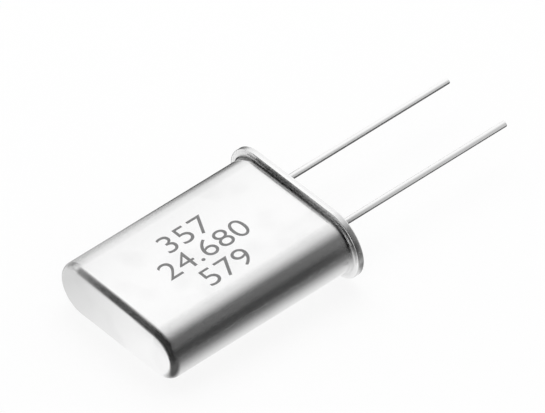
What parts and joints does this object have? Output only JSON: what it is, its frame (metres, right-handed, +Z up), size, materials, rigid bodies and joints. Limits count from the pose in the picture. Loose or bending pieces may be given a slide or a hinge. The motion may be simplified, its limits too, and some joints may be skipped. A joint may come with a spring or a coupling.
{
  "type": "crystal oscillator",
  "caption": "Quartz crystal unit in a welded obround metal can with a flange and two straight wire leads, lying on one broad face.",
  "frame": {"origin": "middle of the seating plane, the flat underside of the base, halfway between the two leads", "axes": "+X across the width of the can, +Y along the leads away from the can, +Z up, normal to the broad face that faces up"},
  "size_m": [0.011, 0.0263, 0.0044],
  "materials": {
    "can": "bright satin nickel plate over drawn nickel silver, lightly drawn along its length",
    "base": "nickel plate over stamped steel, satin",
    "seal_glass": "fused dark grey-green sealing glass, glossy",
    "tinned_wire": "bright hot-tinned wire",
    "clip_ribbon": "rolled nickel-alloy spring ribbon",
    "quartz": "lapped and etched clear quartz",
    "silver_film": "evaporated silver film",
    "cement": "cured silver-filled cement, matte"
  },
  "bodies": {
    "root": {"cover": "can", "base": "base", "glass_bead_left": "seal_glass", "glass_bead_right": "seal_glass", "lead_left": "tinned_wire", "lead_right": "tinned_wire", "spring_clip_left": "clip_ribbon", "spring_clip_right": "clip_ribbon", "quartz_blank": "quartz", "electrode_front": "silver_film", "electrode_back": "silver_film", "cement_left": "cement", "cement_right": "cement"}
  },
  "joints": []
}
